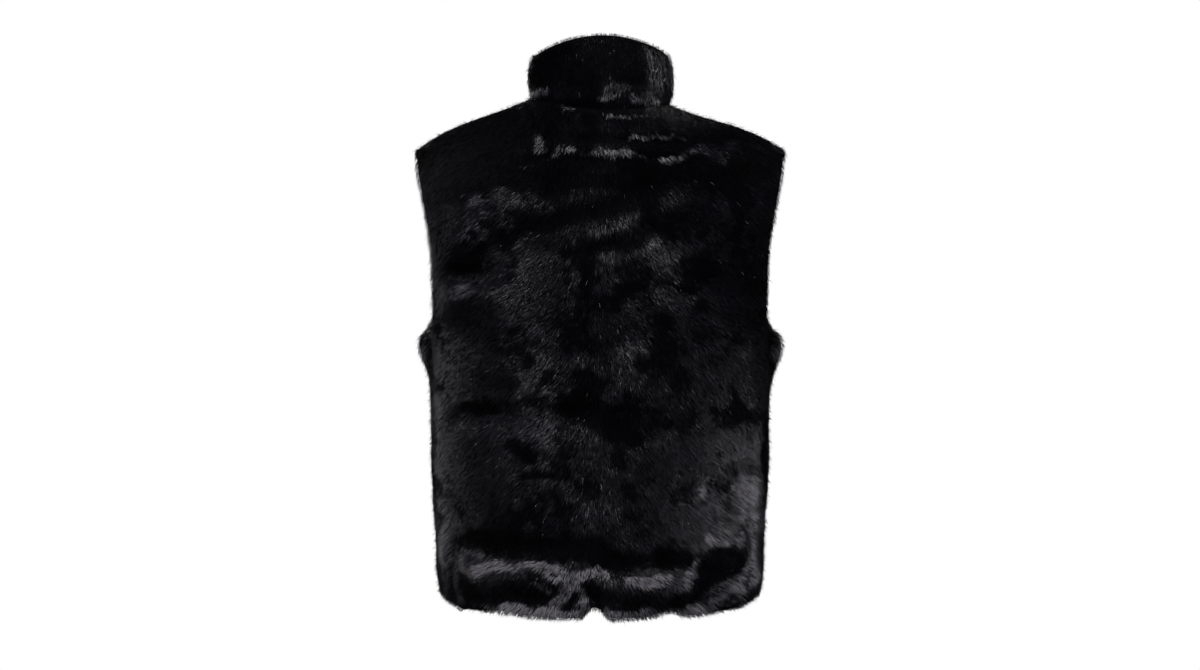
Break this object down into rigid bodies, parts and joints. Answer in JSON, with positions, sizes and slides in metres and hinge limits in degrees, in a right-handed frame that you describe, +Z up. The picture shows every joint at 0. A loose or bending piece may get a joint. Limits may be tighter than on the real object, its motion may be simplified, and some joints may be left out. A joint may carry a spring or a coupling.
{
  "type": "faux fur vest",
  "caption": "Sleeveless faux fur vest with a high stand collar and a closed front zip, hollow, in the form it has when worn.",
  "frame": {"origin": "where a wearer's shoulders hold it: midway between the two points where shoulder seam and collar meet", "axes": "+Z up, the front faces -Y and the wearer's left is +X"},
  "size_m": [0.4454, 0.2509, 0.6848],
  "materials": {
    "pile": "glossy combed pile",
    "zip_tape": "woven tape with a moulded chain",
    "zip_metal": "satin black"
  },
  "bodies": {
    "garment": {"back": "pile", "front_left": "pile", "front_right": "pile", "collar": "pile", "zip": "zip_tape", "zip_slider": "zip_metal"},
    "pull": {"zip_pull": "zip_metal"}
  },
  "joints": [
    {"name": "pull_swing", "type": "hinge", "parent": "garment", "child": "pull", "pos_m": [0, -0.07628, -0.00299], "axis": [-1, 0, 0], "range_deg": [0, 120]}
  ]
}
